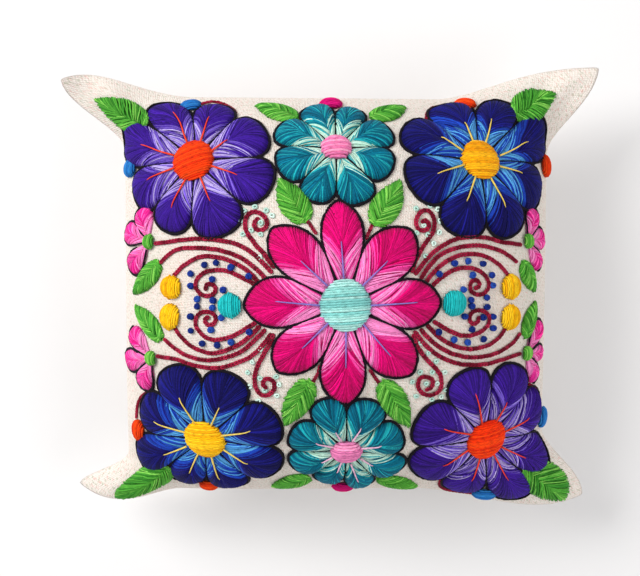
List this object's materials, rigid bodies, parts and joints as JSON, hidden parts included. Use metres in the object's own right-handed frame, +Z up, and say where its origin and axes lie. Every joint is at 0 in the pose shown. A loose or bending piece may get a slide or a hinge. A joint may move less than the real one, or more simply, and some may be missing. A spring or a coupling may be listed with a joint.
{
  "type": "embroidered pillow cover",
  "caption": "Filled square pillow cover of cream cloth with soft ears, worked all over in raised wool flowers, leaves, buds and curled vines.",
  "frame": {"origin": "under the middle of the pillow, on the surface that it lies on", "axes": "+Z up out of the worked face, +X to the right and +Y to the top edge of that face"},
  "size_m": [0.4345, 0.3676, 0.1823],
  "materials": {
    "cream_cloth": "coarse slub weave, matt",
    "magenta_wool": "wool stitches, soft sheen",
    "purple_wool": "wool stitches, soft sheen",
    "navy_wool": "wool stitches, soft sheen",
    "teal_wool": "wool stitches, soft sheen",
    "pink_wool": "wool stitches, soft sheen",
    "aqua_wool": "wool stitches, soft sheen",
    "orange_wool": "wool stitches, soft sheen",
    "yellow_wool": "wool stitches, soft sheen",
    "blue_wool": "wool stitches, soft sheen",
    "green_wool": "wool stitches, soft sheen",
    "burgundy_wool": "wool chain stitch, soft sheen"
  },
  "bodies": {
    "root": {"bud_inner_left": "aqua_wool", "bud_inner_right": "aqua_wool", "bud_left_down": "yellow_wool", "bud_left_up": "yellow_wool", "bud_right_down": "yellow_wool", "bud_right_up": "yellow_wool", "disc_bottom": "pink_wool", "disc_bottom_left": "yellow_wool", "disc_bottom_right": "orange_wool", "disc_center": "aqua_wool", "disc_top": "pink_wool", "disc_top_left": "orange_wool", "disc_top_right": "yellow_wool", "flower_bottom": "teal_wool", "flower_bottom_left": "navy_wool", "flower_bottom_right": "purple_wool", "flower_center": "magenta_wool", "flower_top": "teal_wool", "flower_top_left": "purple_wool", "flower_top_right": "navy_wool", "leaf_corner_bottom_left": "green_wool", "leaf_corner_bottom_right": "green_wool", "leaf_corner_top_left": "green_wool", "leaf_corner_top_right": "green_wool", "leaf_high_left": "green_wool", "leaf_high_right": "green_wool", "leaf_low_left": "green_wool", "leaf_low_right": "green_wool", "leaf_lower_left": "green_wool", "leaf_lower_right": "green_wool", "leaf_side_left_down": "green_wool", "leaf_side_left_up": "green_wool", "leaf_side_right_down": "green_wool", "leaf_side_right_up": "green_wool", "leaf_upper_left": "green_wool", "leaf_upper_right": "green_wool", "pillow_cover": "cream_cloth", "rim_bud_bottom": "pink_wool", "rim_bud_bottom_left": "orange_wool", "rim_bud_bottom_right": "blue_wool", "rim_bud_low_left": "orange_wool", "rim_bud_low_right": "blue_wool", "rim_bud_side_left": "blue_wool", "rim_bud_side_right": "orange_wool", "rim_bud_top": "pink_wool", "rim_bud_top_left": "blue_wool", "rim_bud_top_right": "orange_wool", "scroll_left_down": "burgundy_wool", "scroll_left_up": "burgundy_wool", "scroll_right_down": "burgundy_wool", "scroll_right_up": "burgundy_wool", "side_flower_left_down": "pink_wool", "side_flower_left_up": "pink_wool", "side_flower_right_down": "pink_wool", "side_flower_right_up": "pink_wool", "vine_left_down": "burgundy_wool", "vine_left_up": "burgundy_wool", "vine_right_down": "burgundy_wool", "vine_right_up": "burgundy_wool"}
  },
  "joints": []
}
